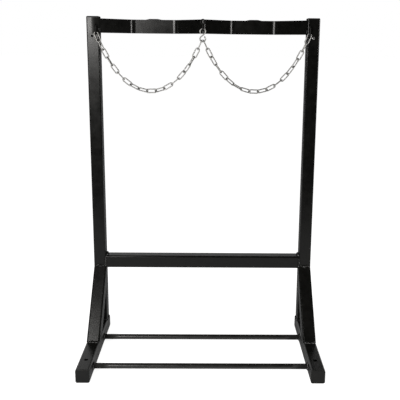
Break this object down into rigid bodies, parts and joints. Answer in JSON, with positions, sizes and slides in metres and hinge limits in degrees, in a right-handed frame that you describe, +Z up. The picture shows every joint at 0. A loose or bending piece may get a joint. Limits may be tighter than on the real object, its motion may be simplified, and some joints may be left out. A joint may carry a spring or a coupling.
{
  "type": "gas cylinder stand",
  "caption": "Floor stand that holds upright gas cylinders side by side on two bars, against a recessed top rail, with a chain across each place.",
  "frame": {"origin": "on the floor, at the middle of the stand's width and overall depth", "axes": "+X to the stand's right as seen from the front, +Y to the back, +Z up"},
  "size_m": [0.7, 0.448, 1.007],
  "materials": {
    "black_paint": "semi-gloss black powder coat on steel",
    "black_plastic": "satin black moulded plastic",
    "zinc_plate": "bright zinc-plated steel"
  },
  "bodies": {
    "frame": {"left_foot": "black_paint", "right_foot": "black_paint", "left_post": "black_paint", "right_post": "black_paint", "left_brace": "black_paint", "right_brace": "black_paint", "middle_rail": "black_paint", "top_rail": "black_paint", "front_bar": "black_paint", "rear_bar": "black_paint", "left_post_eye": "black_paint", "right_post_eye": "black_paint", "centre_eye": "black_paint", "left_post_cap": "black_plastic", "left_foot_front_cap": "black_plastic", "left_foot_rear_cap": "black_plastic", "right_post_cap": "black_plastic", "right_foot_front_cap": "black_plastic", "right_foot_rear_cap": "black_plastic", "s_hook": "zinc_plate", "right_post_screw": "zinc_plate"},
    "left_chain": {"left_chain_link_01": "zinc_plate", "left_chain_link_02": "zinc_plate", "left_chain_link_03": "zinc_plate", "left_chain_link_04": "zinc_plate", "left_chain_link_05": "zinc_plate", "left_chain_link_06": "zinc_plate", "left_chain_link_07": "zinc_plate", "left_chain_link_08": "zinc_plate", "left_chain_link_09": "zinc_plate", "left_chain_link_10": "zinc_plate", "left_chain_link_11": "zinc_plate", "left_chain_link_12": "zinc_plate", "left_chain_link_13": "zinc_plate", "left_chain_link_14": "zinc_plate", "left_chain_link_15": "zinc_plate", "left_chain_link_16": "zinc_plate", "left_chain_link_17": "zinc_plate", "left_chain_link_18": "zinc_plate"},
    "right_chain": {"right_chain_link_01": "zinc_plate", "right_chain_link_02": "zinc_plate", "right_chain_link_03": "zinc_plate", "right_chain_link_04": "zinc_plate", "right_chain_link_05": "zinc_plate", "right_chain_link_06": "zinc_plate", "right_chain_link_07": "zinc_plate", "right_chain_link_08": "zinc_plate", "right_chain_link_09": "zinc_plate", "right_chain_link_10": "zinc_plate", "right_chain_link_11": "zinc_plate", "right_chain_link_12": "zinc_plate", "right_chain_link_13": "zinc_plate", "right_chain_link_14": "zinc_plate", "right_chain_link_15": "zinc_plate", "right_chain_link_16": "zinc_plate", "right_chain_link_17": "zinc_plate", "right_chain_link_18": "zinc_plate"}
  },
  "joints": [
    {"name": "left_chain_swing", "type": "hinge", "parent": "frame", "child": "left_chain", "pos_m": [-0.32278, 0.1195, 0.96035], "axis": [-0.997, 0, 0.0772], "range_deg": [-4, 60]},
    {"name": "right_chain_swing", "type": "hinge", "parent": "frame", "child": "right_chain", "pos_m": [0.3203, 0.1195, 0.96034], "axis": [-0.997, 0, -0.0768], "range_deg": [-4, 60]}
  ]
}
